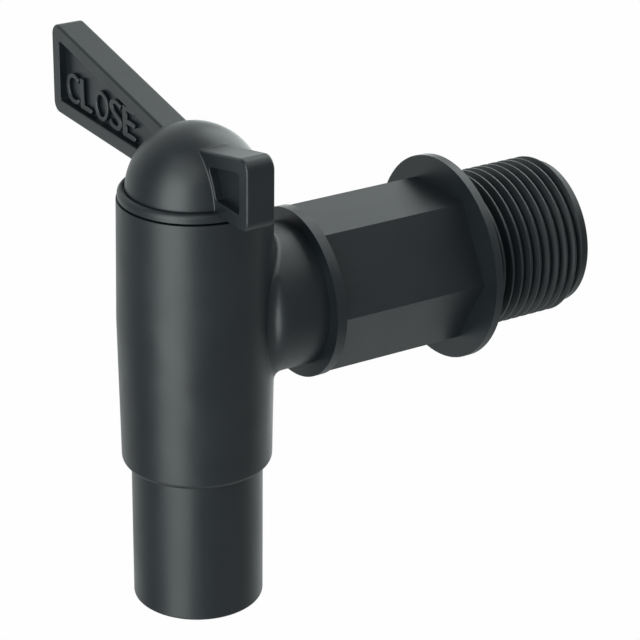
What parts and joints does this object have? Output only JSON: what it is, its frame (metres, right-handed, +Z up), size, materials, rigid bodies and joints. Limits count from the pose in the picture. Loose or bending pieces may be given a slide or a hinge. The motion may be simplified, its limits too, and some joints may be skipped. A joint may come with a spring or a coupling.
{
  "type": "water butt tap",
  "caption": "Plastic lever tap for a rainwater butt: barrel with straight spout, hexagon branch, threaded tail and a turning lever plug.",
  "frame": {"origin": "centre of the sealing flange's rear face, on the branch axis, where the tap meets the butt's wall", "axes": "+Y along the threaded tail into the butt, +Z up along the barrel, +X to the right seen from the front, with the long wing of the closed lever along -X"},
  "size_m": [0.0631, 0.0807, 0.0862],
  "materials": {
    "body_plastic": "satin charcoal black moulding",
    "lever_plastic": "satin charcoal black moulding",
    "seal_rubber": "matt black"
  },
  "bodies": {
    "body": {"tap_body": "body_plastic"},
    "lever": {"lever": "lever_plastic", "seal_ring": "seal_rubber"}
  },
  "joints": [
    {"name": "lever_turn", "type": "hinge", "parent": "body", "child": "lever", "pos_m": [0, -0.0474, 0.0202], "axis": [0, 0, 1], "range_deg": [0, 180]}
  ]
}
